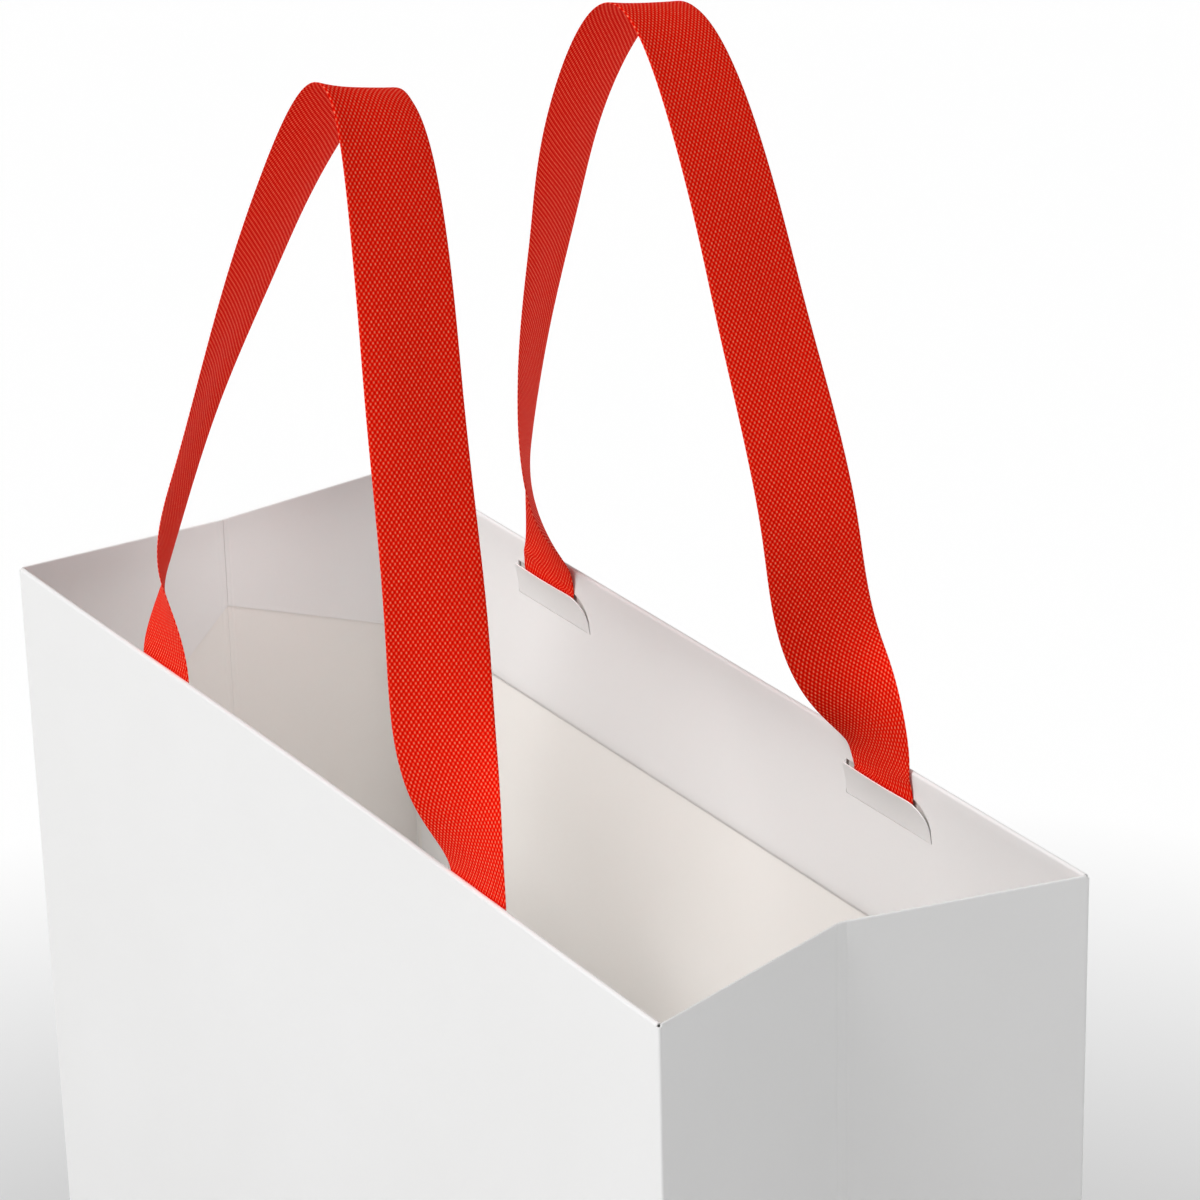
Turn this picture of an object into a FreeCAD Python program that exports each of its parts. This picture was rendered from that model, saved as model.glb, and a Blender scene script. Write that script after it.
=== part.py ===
import FreeCAD, Part
import math
import os
import Sketcher
from FreeCAD import Placement, Rotation, Vector

# Rigid paper gift bag with two ribbon handles. Millimetres.
# Origin: middle of the underside of the base. +Z up, +X along the width, front wall on the -Y side.
# The wrap is one sheet of laminated paper, scored and glued into a box. It is modelled panel by panel,
# each panel ending at its creases, so that the bag can fold flat. The two walls are the same piece turned
# half a turn about Z. The right gusset stands further in than the left one, which is almost flat.

SIZES = [
    # overall
    ("bag_width", 320, "front and back wall, corner to corner"),
    ("gusset_width", 130, "side gusset laid flat"),
    ("bag_height", 400, "base to rim"),
    ("right_push", 16, "how far in the right centre crease stands on the open bag"),
    ("left_push", 4, "how far in the left centre crease stands on the open bag"),
    # sheet stock
    ("paper", 0.35, "laminated wrap paper"),
    ("stiff_card", 0.4, "card strip behind each cuff"),
    ("board", 1.0, "loose board on the base"),
    # turned-in top
    ("cuff_depth", 50, "how far the rim is turned in"),
    ("notch_depth", 27, "depth of the gusset cuffs at the centre crease, where they are notched"),
    ("notch_run", 23, "how far the notch reaches across a front gusset half"),
    ("stiff_depth", 46, "height of the card strip"),
    ("corner_setback", 3, "cuffs and card stop this far from a corner"),
    # tongue slots in the cuffs of the two walls
    ("slit_drop", 7.5, "rim down to the top of a tongue"),
    ("tongue_width", 36, "die-cut tongue that the ribbon passes behind"),
    ("tongue_height", 9.5, "score line up to the tongue's top"),
    ("tongue_round", 9, "round on one top corner of the tongue"),
    ("tongue_shift", 2, "tongue's middle beside the ribbon's middle"),
    ("tongue_lean", 12, "degrees that the ribbon pushes the tongue in"),
    ("kerf", 0.3, "die cut round the tongue"),
    # ribbon
    ("ribbon_width", 25, "woven ribbon"),
    ("ribbon_thick", 0.4, "woven ribbon"),
    ("ribbon_tail", 42, "rim down to the ribbon's glued end"),
    ("ribbon_jog", 3.4, "height over which the ribbon crosses the cuff"),
    ("ribbon_play", 0.1, "ribbon clear of the cuff's face and of the slit"),
    ("slot_spacing", 157, "between the two legs of a handle, centre to centre"),
    ("loop_rise", 184, "rim up to the top of a handle"),
    ("loop_lean", 16, "how far the handle's top leans over the bag"),
    ("loop_draw", 6, "how far a leg has drawn in half way up"),
    ("loop_upright", 90, "height over which a leg stays upright"),
    ("loop_crown", 28, "half width of the round top"),
    # base
    ("front_lip", 3.7, "crease of the front strip above the floor"),
    ("side_lip", 2.6, "crease of a side triangle above the floor"),
    ("lip_setback", 4, "side lip stops this far from a corner"),
    ("flap_overlap", 24, "front bottom flap under the back one"),
    ("side_flap_length", 55, "side bottom flap, crease to end"),
    ("side_flap_taper", 21, "how much narrower each edge of the side flap ends"),
    ("board_play", 2.5, "base board clear of the walls"),
    # clearances and the glue seam
    ("fold_gap", 0.3, "between two panels that share a crease"),
    ("facet_gap", 1, "between panels that share a slanted crease, measured upright"),
    ("seam_width", 15, "glue flap of the side seam"),
]

LOOP_STEPS = 32  # flats along each leg of a handle

doc = FreeCAD.newDocument("gift_bag")
dims = doc.addObject("Spreadsheet::Sheet", "dims")
for row, (alias, value, meaning) in enumerate(SIZES, start=1):
    dims.set(f"A{row}", alias)
    dims.set(f"B{row}", str(value))
    dims.set(f"C{row}", meaning)
    dims.setAlias(f"B{row}", alias)
doc.recompute()

# Places that several pieces share, as formulas over the sheet
HALF_WIDTH = "(dims.bag_width / 2)"
HALF_GUSSET = "(dims.gusset_width / 2)"
HALF_DEPTH = "sqrt((dims.gusset_width / 2) ^ 2 - dims.right_push ^ 2)"
PUSH = {"right": "dims.right_push", "left": "dims.left_push"}
HALF_SPAN = {side: f"sqrt({HALF_DEPTH} ^ 2 + {push} ^ 2)" for side, push in PUSH.items()}
WALL_STACK = "(2 * dims.paper + dims.stiff_card + dims.ribbon_thick)"
RIM = "dims.bag_height"
UNDER_RIM = "(dims.bag_height - dims.paper)"
BELOW_CREASE = f"({HALF_GUSSET} - dims.fold_gap / 2)"  # the walls crease across at half a gusset's width
ABOVE_CREASE = f"({HALF_GUSSET} + dims.fold_gap / 2)"
GUSSET_START = "(2 * dims.paper + dims.fold_gap)"
GUSSET_END = {side: f"({span} - dims.fold_gap / 2)" for side, span in HALF_SPAN.items()}
SCORE_LEVEL = "(dims.bag_height - dims.slit_drop - dims.tongue_height)"

pieces = []


def size(formula):
    """The number that a formula over the sheet gives."""
    value = dims.evalExpression(formula)
    return float(getattr(value, "Value", value))


def minus(formula):
    return f"-1 * ({formula})"


def new_piece(label):
    """An empty body for one sub-part."""
    body = doc.addObject("PartDesign::Body", label)
    body.Label = label
    pieces.append(body)
    return body


def outline(body, role, corners, lift):
    """A closed outline of straight edges on one of the body's own planes, moved by lift along its normal.

    Every corner is held by its two distances from the origin, each a formula.
    """
    plane = next(f for f in body.Origin.OriginFeatures if f.Role == role)
    sketch = body.newObject("Sketcher::SketchObject", f"{body.Label}_outline")
    sketch.AttachmentSupport = [(plane, "")]
    sketch.MapMode = "FlatFace"
    sketch.setExpression(".AttachmentOffset.Base.z", lift)
    points = [Vector(size(across), size(up), 0) for across, up in corners]
    count = len(points)
    for n in range(count):
        sketch.addGeometry(Part.LineSegment(points[n], points[(n + 1) % count]), False)
    for n in range(count):
        sketch.addConstraint(Sketcher.Constraint("Coincident", n, 2, (n + 1) % count, 1))
    for n, formulas in enumerate(corners):
        for kind, formula, value in zip(("DistanceX", "DistanceY"), formulas, points[n]):
            number = sketch.addConstraint(Sketcher.Constraint(kind, -1, 1, n, 1, value))
            sketch.renameConstraint(number, f"{kind}_{n}")
            sketch.setExpression(f"Constraints.{kind}_{n}", formula)
    return sketch


def pad(body, sketch, thickness, backwards=False, both_ways=False):
    feature = body.newObject("PartDesign::Pad", f"{body.Label}_pad")
    feature.Profile = sketch
    feature.setExpression("Length", thickness)
    feature.Reversed = backwards
    feature.Midplane = both_ways
    sketch.Visibility = False
    doc.recompute()
    return feature


def pocket(body, sketch, thickness, backwards):
    before = body.Shape.Volume
    feature = body.newObject("PartDesign::Pocket", f"{body.Label}_pocket")
    feature.Profile = sketch
    feature.setExpression("Length", thickness)
    feature.Reversed = backwards
    doc.recompute()
    if not body.Shape.Volume < before:
        raise RuntimeError(f"{feature.Name} cuts nothing")
    return feature


def round_corner(body, feature, across, up, radius):
    """Rounds the edge that runs through the sheet at one corner of its outline."""
    x, z = size(across), size(up)
    for number, edge in enumerate(feature.Shape.Edges, start=1):
        ends = [v.Point for v in edge.Vertexes]
        if all(abs(p.x - x) < 0.01 and abs(p.z - z) < 0.01 for p in ends):
            fillet = body.newObject("PartDesign::Fillet", f"{body.Label}_round")
            fillet.Base = (feature, [f"Edge{number}"])
            fillet.setExpression("Radius", radius)
            doc.recompute()
            return fillet
    raise RuntimeError(f"{body.Label} has no such corner")


def rectangle(low_across, low_up, high_across, high_up):
    return [
        (low_across, low_up),
        (high_across, low_up),
        (high_across, high_up),
        (low_across, high_up),
    ]


def place(body, across="0", back="0", up="0", axis=Vector(0, 0, 1), turn="0 deg"):
    """Puts a piece in the bag's frame, with formulas for its place and its turn about an axis."""
    body.Placement = Placement(Vector(0, 0, 0), Rotation(axis, 1))
    body.setExpression("Placement.Base.x", across)
    body.setExpression("Placement.Base.y", back)
    body.setExpression("Placement.Base.z", up)
    body.setExpression("Placement.Rotation.Angle", turn)


# ---- Sheets that lie against the front or the back wall ----
# They are drawn in the wall's own frame: y is the depth in from the wall's outer face.


def on_wall(body, side):
    turn = "0 deg" if side == "front" else "180 deg"
    back = minus(HALF_DEPTH) if side == "front" else HALF_DEPTH
    place(body, back=back, turn=turn)


def wall_sheet(label, side, corners, depth, thickness):
    body = new_piece(label)
    pad(body, outline(body, "XZ_Plane", corners, minus(depth)), thickness, backwards=True)
    on_wall(body, side)
    return body


def wall_width(low, high, setback="0"):
    edge = f"({HALF_WIDTH} - {setback})"
    return rectangle(minus(edge), low, edge, high)


# Tongues and ribbons: leg +1 or -1 is the side of the wall's own frame. The slots aren't mirrored,
# the same die cuts both, so every tongue has its round corner on the same hand.


def leg_middle(leg):
    return f"({leg} * dims.slot_spacing / 2)"


def tongue_edges(leg, side_play="0"):
    middle = f"({leg_middle(leg)} - dims.tongue_shift)"
    left = f"({middle} - dims.tongue_width / 2 - {side_play})"
    right = f"({middle} + dims.tongue_width / 2 + {side_play})"
    return left, right


def cuff(side):
    """The turned-in top of a wall: a leg inside, a fold over the rim, and a window for each tongue."""
    body = new_piece(f"{side}_cuff")
    edge = f"({HALF_WIDTH} - dims.corner_setback)"
    fold = outline(body, "XZ_Plane", rectangle(minus(edge), UNDER_RIM, edge, RIM), "0")
    pad(body, fold, WALL_STACK, backwards=True)
    leg_bottom = "(dims.bag_height - dims.cuff_depth)"
    inner = outline(
        body,
        "XZ_Plane",
        rectangle(minus(edge), leg_bottom, edge, RIM),
        minus(f"{WALL_STACK} - dims.paper"),
    )
    feature = pad(body, inner, "dims.paper", backwards=True)
    window_top = "(dims.bag_height - dims.slit_drop + dims.kerf)"
    for leg in (-1, 1):
        left, right = tongue_edges(leg, "dims.kerf")
        window = outline(
            body, "XZ_Plane", rectangle(left, SCORE_LEVEL, right, window_top), minus(WALL_STACK)
        )
        feature = pocket(body, window, "2 * dims.paper", backwards=True)
        feature = round_corner(body, feature, left, window_top, "dims.tongue_round + dims.kerf")
    body.Tip = feature
    on_wall(body, side)


def tongue(side, leg, label):
    """A die-cut tongue, hinged on its score line and pushed in by the ribbon behind it."""
    sign = 1 if side == "front" else -1
    left, right = tongue_edges(leg)
    left, right = f"{sign} * {left}", f"{sign} * {right}"
    body = new_piece(label)
    sheet = outline(
        body, "XZ_Plane", rectangle(left, "dims.kerf", right, "dims.tongue_height"), "0"
    )
    feature = pad(body, sheet, "dims.paper", backwards=sign > 0)
    body.Tip = round_corner(body, feature, left, "dims.tongue_height", "dims.tongue_round")
    hinge_depth = f"({HALF_DEPTH} - {WALL_STACK} + dims.paper)"
    place(
        body,
        back=f"{-sign} * {hinge_depth}",
        up=SCORE_LEVEL,
        axis=Vector(1, 0, 0),
        turn=f"{-sign} deg * dims.tongue_lean",
    )


def ribbon_end(side, leg, label):
    """Glued end of a ribbon: up between card and cuff, through the slit, and up over the rim's face."""
    behind = "(dims.paper + dims.stiff_card)"
    ahead = f"({WALL_STACK} + dims.ribbon_play)"
    tail = "(dims.bag_height - dims.ribbon_tail)"
    out = "(dims.bag_height - dims.slit_drop - dims.ribbon_play)"
    under = "(dims.bag_height - dims.slit_drop - dims.ribbon_play - dims.ribbon_jog)"
    thick = "dims.ribbon_thick"
    corners = [
        (behind, tail),
        (f"{behind} + {thick}", tail),
        (f"{behind} + {thick}", under),
        (f"{ahead} + {thick}", out),
        (f"{ahead} + {thick}", RIM),
        (ahead, RIM),
        (ahead, out),
        (behind, under),
    ]
    body = new_piece(label)
    pad(body, outline(body, "YZ_Plane", corners, leg_middle(leg)), "dims.ribbon_width", both_ways=True)
    on_wall(body, side)


def ribbon_loop(side):
    """The free part of a handle. Each leg turns edge-on as it rises, so the top lies flat across a palm."""
    hand_of_turn = 1 if side == "front" else -1  # both handles show the same face to the right
    half = size("dims.slot_spacing / 2")
    rise = size("dims.loop_rise")
    foot_depth = size(f"{WALL_STACK} + dims.ribbon_play + dims.ribbon_thick / 2")
    edge_dip = "dims.ribbon_width / 2 * dims.loop_draw / dims.loop_upright"
    lowest = size(f"dims.fold_gap + {edge_dip}")
    control = [
        Vector(half, 0, lowest),
        Vector(half - size("dims.loop_draw"), 0, size("dims.loop_upright")),
        Vector(size("dims.loop_crown"), 0, rise),
        Vector(0, 0, rise),
    ]

    def leg_point(along):
        rest = 1 - along
        weights = (rest**3, 3 * rest**2 * along, 3 * rest * along**2, along**3)
        point = Vector(0, 0, 0)
        for corner, weight in zip(control, weights):
            point += corner * weight
        point.y = foot_depth + size("dims.loop_lean") * (point.z / rise) ** 1.5
        return point

    def section(along, hand):
        """Four corners of the ribbon's section; hand -1 mirrors the leg and walks it downwards."""
        point = leg_point(along)
        step = 0.001
        ahead = leg_point(min(along + step, 1)) - leg_point(max(along - step, 0))
        twist = hand_of_turn * math.radians(90) * (1 - (1 - point.z / rise) ** 3)
        across = Vector(math.cos(twist), math.sin(twist), 0)
        across -= ahead * (across.dot(ahead) / ahead.dot(ahead))
        across.normalize()
        face = ahead.cross(across).normalize()
        wide = across * (size("dims.ribbon_width") / 2)
        thick = face * (size("dims.ribbon_thick") / 2)
        corners = [point + wide + thick, point - wide + thick, point - wide - thick, point + wide - thick]
        return [Vector(hand * c.x, c.y, c.z) for c in corners]

    sections = [section(n / LOOP_STEPS, 1) for n in range(LOOP_STEPS + 1)]
    mirrored = [section(n / LOOP_STEPS, -1) for n in range(LOOP_STEPS - 1, -1, -1)]
    sections += mirrored

    faces = [Part.Face(Part.makePolygon(ring + ring[:1])) for ring in (sections[0], sections[-1])]
    for ring, following in zip(sections, sections[1:]):
        for n in range(4):
            corners = [ring[n], ring[(n + 1) % 4], following[(n + 1) % 4], following[n]]
            if n == 2:  # both wide faces are split the same way, or the twist would make them cross
                corners = corners[1:] + corners[:1]
            a, b, c, d = corners
            faces.append(Part.Face(Part.makePolygon([a, b, c, a])))
            faces.append(Part.Face(Part.makePolygon([a, c, d, a])))
    solid = Part.makeSolid(Part.makeShell(faces))
    if solid.Volume < 0:
        solid.reverse()
    feature = doc.addObject("Part::Feature", f"{side}_ribbon_loop")
    feature.Label = f"{side}_ribbon_loop"
    feature.Shape = solid
    foot = size(HALF_DEPTH)
    if side == "front":
        feature.Placement = Placement(Vector(0, -foot, size(RIM)), Rotation())
    else:
        feature.Placement = Placement(Vector(0, foot, size(RIM)), Rotation(Vector(0, 0, 1), 180))
    pieces.append(feature)


wall_sheet("front_panel", "front", wall_width(ABOVE_CREASE, UNDER_RIM), "0", "dims.paper")
wall_sheet("back_panel", "back", wall_width("dims.paper + dims.fold_gap", UNDER_RIM), "0", "dims.paper")
wall_sheet(
    "front_lower_panel",
    "front",
    wall_width("dims.front_lip + dims.fold_gap / 2", BELOW_CREASE),
    "0",
    "dims.paper",
)
for wall in ("front", "back"):
    card_bottom = "(dims.bag_height - dims.stiff_depth)"
    wall_sheet(
        f"{wall}_stiffener",
        wall,
        wall_width(card_bottom, UNDER_RIM, "dims.corner_setback"),
        "dims.paper",
        "dims.stiff_card",
    )
    cuff(wall)
    for leg in (-1, 1):
        hand = "right" if (leg > 0) == (wall == "front") else "left"
        tongue(wall, leg, f"{wall}_{hand}_tongue")
        ribbon_end(wall, leg, f"{wall}_{hand}_ribbon_end")
    ribbon_loop(wall)

# Glue flap of the side seam, inside the back wall along its left corner
seam_outer = f"({HALF_WIDTH} - dims.corner_setback)"
wall_sheet(
    "side_seam_flap",
    "back",
    rectangle(
        f"{seam_outer} - dims.seam_width",
        "dims.front_lip + dims.paper",
        seam_outer,
        "dims.bag_height - dims.cuff_depth - dims.fold_gap",
    ),
    "dims.paper",
    "dims.paper",
)

# ---- Gusset halves ----
# They are drawn from the bag's corner towards the centre crease: x along the half, y through the paper.


def on_gusset(body, side, half):
    """Corner of the bag that the half starts at, and the way it faces."""
    across = HALF_WIDTH if side == "right" else minus(HALF_WIDTH)
    back = minus(HALF_DEPTH) if half == "front" else HALF_DEPTH
    away = 1 if (side == "right") == (half == "front") else -1
    start = "0 deg" if side == "right" else "180 deg"
    turn = f"asin({PUSH[side]} / {HALF_SPAN[side]})"
    place(body, across=across, back=back, turn=f"{start} + {away} * (90 deg + {turn})")


def gusset_sheet(label, side, half, sheets):
    """Each sheet is an outline, its depth in from the outer face and its thickness."""
    body = new_piece(label)
    inward = (side == "right") == (half == "front")
    for corners, depth, thickness in sheets:
        lift = minus(depth) if inward else depth
        pad(body, outline(body, "XZ_Plane", corners, lift), thickness, backwards=inward)
    on_gusset(body, side, half)


def gusset_cuff(side, half):
    """Turned-in top of a gusset half, with a slanted notch that lets the centre crease fold."""
    end = GUSSET_END[side]
    fold = rectangle("dims.corner_setback", UNDER_RIM, end, RIM)
    leg_bottom = "(dims.bag_height - dims.cuff_depth)"
    notch_start = f"({end} - dims.notch_run)" if half == "front" else "(2 * dims.corner_setback)"
    leg = [
        ("dims.corner_setback", leg_bottom),
        (notch_start, leg_bottom),
        (end, "dims.bag_height - dims.notch_depth"),
        (end, RIM),
        ("dims.corner_setback", RIM),
    ]
    sheets = [(fold, "0", "2 * dims.paper"), (leg, "dims.paper", "dims.paper")]
    gusset_sheet(f"{side}_gusset_{half}_cuff", side, half, sheets)


def gusset_side(side):
    """Two gusset halves, and the facet under the front half's cross crease."""
    end = GUSSET_END[side]
    rise = f"({HALF_GUSSET} / {HALF_SPAN[side]})"
    slant_start = f"({GUSSET_START} * {rise} + dims.facet_gap)"
    slant_end = f"({end} * {rise} + dims.facet_gap)"
    front_half = rectangle(GUSSET_START, ABOVE_CREASE, end, UNDER_RIM)
    back_half = [
        (GUSSET_START, slant_start),
        (end, slant_end),
        (end, UNDER_RIM),
        (GUSSET_START, UNDER_RIM),
    ]
    facet = [
        (GUSSET_START, slant_start),
        (f"({BELOW_CREASE} - dims.facet_gap) / {rise}", BELOW_CREASE),
        (GUSSET_START, BELOW_CREASE),
    ]
    gusset_sheet(f"{side}_gusset_front", side, "front", [(front_half, "0", "dims.paper")])
    gusset_sheet(f"{side}_gusset_back", side, "back", [(back_half, "0", "dims.paper")])
    gusset_sheet(f"{side}_front_facet", side, "front", [(facet, "0", "dims.paper")])
    gusset_cuff(side, "front")
    gusset_cuff(side, "back")


for side in ("left", "right"):
    gusset_side(side)


# ---- Base ----


def base_triangle(side):
    """The triangle of the gusset that hinges on the base, leaning in to the foot of the centre crease."""
    foot = "(dims.side_lip + dims.fold_gap)"
    slope = f"sqrt({HALF_GUSSET} ^ 2 + {PUSH[side]} ^ 2)"
    half_foot = f"({HALF_DEPTH} * (1 - {foot} / {slope}) - dims.facet_gap)"
    tip = f"({slope} * (1 - dims.facet_gap / {HALF_DEPTH}))"
    lean = f"atan({PUSH[side]} / {HALF_GUSSET})"
    body = new_piece(f"{side}_base_triangle")
    corners = [(minus(half_foot), foot), (half_foot, foot), ("0", tip)]
    right = side == "right"
    pad(body, outline(body, "YZ_Plane", corners, "0"), "dims.paper", backwards=right)
    place(
        body,
        across=HALF_WIDTH if right else minus(HALF_WIDTH),
        axis=Vector(0, 1, 0),
        turn=minus(lean) if right else lean,
    )


def side_bottom_flap(side):
    """Folded in first: a tapered flap on the front and back flaps, with the crease standing as a lip."""
    sign = 1 if side == "right" else -1
    wide = f"({HALF_DEPTH} - dims.lip_setback)"
    narrow = f"({wide} - dims.side_flap_taper)"
    near = f"{sign} * {HALF_WIDTH}"
    far = f"{sign} * ({HALF_WIDTH} - dims.side_flap_length)"
    inner = f"{sign} * ({HALF_WIDTH} - dims.paper)"
    level = "2 * dims.paper"
    flap = [(near, minus(wide)), (near, wide), (far, narrow), (far, minus(narrow))]
    body = new_piece(f"{side}_bottom_flap")
    pad(body, outline(body, "XY_Plane", flap, level), "dims.paper")
    lip = rectangle(near, minus(wide), inner, wide)
    pad(body, outline(body, "XY_Plane", lip, level), f"dims.side_lip - {level}")


def long_flap(label, section):
    """A bottom flap the whole width of the bag, drawn as its section across the base."""
    body = new_piece(label)
    pad(body, outline(body, "YZ_Plane", section, "0"), "dims.bag_width", both_ways=True)


front_edge = minus(HALF_DEPTH)
front_inner = f"{minus(HALF_DEPTH)} + dims.paper"
lap = "(dims.flap_overlap / 2)"
long_flap(
    "front_bottom_flap",
    [
        (front_edge, "0"),
        (lap, "0"),
        (lap, "dims.paper"),
        (front_inner, "dims.paper"),
        (front_inner, "dims.front_lip"),
        (front_edge, "dims.front_lip"),
    ],
)
step_front = f"({lap} + dims.fold_gap)"
step_back = f"({step_front} + dims.paper)"
long_flap(
    "back_bottom_flap",
    [
        (HALF_DEPTH, "0"),
        (HALF_DEPTH, "dims.paper"),
        (step_back, "dims.paper"),
        (step_back, "2 * dims.paper"),
        (minus(lap), "2 * dims.paper"),
        (minus(lap), "dims.paper"),
        (step_front, "dims.paper"),
        (step_front, "0"),
    ],
)
for side in ("left", "right"):
    side_bottom_flap(side)
    base_triangle(side)

base_board = doc.addObject("Part::Box", "base_board")
base_board.Label = "base_board"
base_board.setExpression("Length", "dims.bag_width - 2 * dims.board_play")
base_board.setExpression("Width", f"2 * ({HALF_DEPTH} - dims.board_play)")
base_board.setExpression("Height", "dims.board")
base_board.setExpression("Placement.Base.x", f"dims.board_play - {HALF_WIDTH}")
base_board.setExpression("Placement.Base.y", f"dims.board_play - {HALF_DEPTH}")
base_board.setExpression("Placement.Base.z", "3 * dims.paper")
pieces.append(base_board)

doc.recompute()

# ---- Check and write ----
for thing in doc.Objects:
    if any(word in ("Invalid", "Error") for word in thing.State):
        raise RuntimeError(f"{thing.Name} is {thing.State}")
os.makedirs("parts", exist_ok=True)
for piece in pieces:
    shape = piece.Shape
    if shape.isNull() or not shape.isValid() or shape.Volume <= 0:
        raise RuntimeError(f"{piece.Label} has no sound shape")
for piece in pieces:
    piece.Shape.exportStep(f"parts/{piece.Label}.step")
    box = piece.Shape.BoundBox
    print(
        f"{piece.Label:28s} {piece.Shape.Volume:10.1f} mm3  "
        f"x {box.XMin:7.2f} {box.XMax:7.2f}  y {box.YMin:7.2f} {box.YMax:7.2f}  z {box.ZMin:7.2f} {box.ZMax:7.2f}"
    )
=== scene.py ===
import math

import bpy
import numpy as np
from mathutils import Matrix, Vector


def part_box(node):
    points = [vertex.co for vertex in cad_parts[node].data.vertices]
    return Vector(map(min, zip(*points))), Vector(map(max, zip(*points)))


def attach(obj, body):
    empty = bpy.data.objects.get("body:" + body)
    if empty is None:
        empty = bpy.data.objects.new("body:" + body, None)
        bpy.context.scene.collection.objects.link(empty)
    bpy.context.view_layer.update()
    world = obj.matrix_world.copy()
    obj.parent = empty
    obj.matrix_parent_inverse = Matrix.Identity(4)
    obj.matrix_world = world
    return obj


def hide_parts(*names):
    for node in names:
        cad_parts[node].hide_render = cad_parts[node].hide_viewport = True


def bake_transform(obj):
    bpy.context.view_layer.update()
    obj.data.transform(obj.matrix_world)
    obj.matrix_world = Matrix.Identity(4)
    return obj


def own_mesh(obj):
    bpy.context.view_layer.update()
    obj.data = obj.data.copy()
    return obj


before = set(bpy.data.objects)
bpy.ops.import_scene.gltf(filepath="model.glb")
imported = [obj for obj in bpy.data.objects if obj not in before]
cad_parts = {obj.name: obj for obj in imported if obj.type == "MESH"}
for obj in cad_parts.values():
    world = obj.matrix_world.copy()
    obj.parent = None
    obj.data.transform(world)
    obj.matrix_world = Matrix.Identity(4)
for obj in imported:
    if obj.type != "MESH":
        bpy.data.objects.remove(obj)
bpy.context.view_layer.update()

# ---- Walls of the wrap ----
# The front and the back wall are panels of one sheet of white laminated paper. The sheet is scored,
# folded round into a box, turned in over a card strip at the rim and glued down inside as a deep cuff.
# Two tongues are die-cut in each cuff, and the sheet bends round each corner on a small radius.

MM = 0.001
PAPER = 0.35 * MM
HALF_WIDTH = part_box("front_panel")[1].x
HALF_DEPTH = -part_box("front_panel")[0].y
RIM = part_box("front_cuff")[1].z
CUFF_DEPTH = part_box("front_cuff")[1].y + HALF_DEPTH     # wall's outer face to the cuff's inner face
CROSS_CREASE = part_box("front_panel")[0].z - 0.15 * MM   # the wall folds across here
CREASE_GAP = 0.04 * MM                                  # half the gap that is left along a crease
CORNER_BEND = 0.6 * MM                                  # radius of the sheet's outer face round a corner
WALL_BOW = 1.3 * MM                                     # how far the middle of the front rim stands in
RIM_BEND = CUFF_DEPTH / 2                               # outer radius of the fold over the rim
BEND_LEVEL = RIM - RIM_BEND                             # that fold starts here
SHARP_FOLD = math.radians(40)                           # a steeper fold than this is drawn as an edge

# how far the centre crease of each gusset stands in, and the lean of the gusset that follows from it
GUSSET_PUSH = {"left": 4 * MM, "right": 16 * MM}
GUSSET_SPAN = {side: math.hypot(HALF_DEPTH, push) for side, push in GUSSET_PUSH.items()}
GUSSET_LEAN = {side: math.atan2(push, HALF_DEPTH) for side, push in GUSSET_PUSH.items()}


def socket_group(name, inputs, outputs):
    """An empty shader group with named sockets, and its two end nodes."""
    group = bpy.data.node_groups.new(name, "ShaderNodeTree")
    for label, kind, value in inputs:
        made = group.interface.new_socket(label, in_out="INPUT", socket_type=f"NodeSocket{kind}")
        if value is not None:
            made.default_value = value
    for label, kind in outputs:
        group.interface.new_socket(label, in_out="OUTPUT", socket_type=f"NodeSocket{kind}")
    return group, group.nodes.new("NodeGroupInput"), group.nodes.new("NodeGroupOutput")


def feed(tree, socket, value):
    """Links a socket into another, or sets it where the value is a plain number or colour."""
    if isinstance(value, bpy.types.NodeSocket):
        tree.links.new(value, socket)
    elif value is not None:
        socket.default_value = value


def sums(tree, operation, *values, clamp=False):
    """One arithmetic step of a shader."""
    node = tree.nodes.new("ShaderNodeMath")
    node.operation = operation
    node.use_clamp = clamp
    for socket, value in zip(node.inputs, values):
        feed(tree, socket, value)
    return node.outputs[0]


def noise(tree, where, scale, detail=2.0, roughness=0.5):
    """A cloudy pattern from 0 to 1."""
    node = tree.nodes.new("ShaderNodeTexNoise")
    feed(tree, node.inputs["Vector"], where)
    feed(tree, node.inputs["Scale"], scale)
    node.inputs["Detail"].default_value = detail
    node.inputs["Roughness"].default_value = roughness
    return node.outputs["Fac"]


def blend_colours(tree, share, first, second):
    """From the first colour to the second as the share goes from 0 to 1."""
    node = tree.nodes.new("ShaderNodeMix")
    node.data_type = "RGBA"
    feed(tree, node.inputs["Factor"], share)
    feed(tree, node.inputs["A"], first)
    feed(tree, node.inputs["B"], second)
    return node.outputs["Result"]


def remap(tree, value, low, high, to_low, to_high):
    """A value's range from low to high, stretched to another range and held at its ends."""
    node = tree.nodes.new("ShaderNodeMapRange")
    for socket, number in zip(node.inputs, (value, low, high, to_low, to_high)):
        feed(tree, socket, number)
    return node.outputs["Result"]


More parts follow.
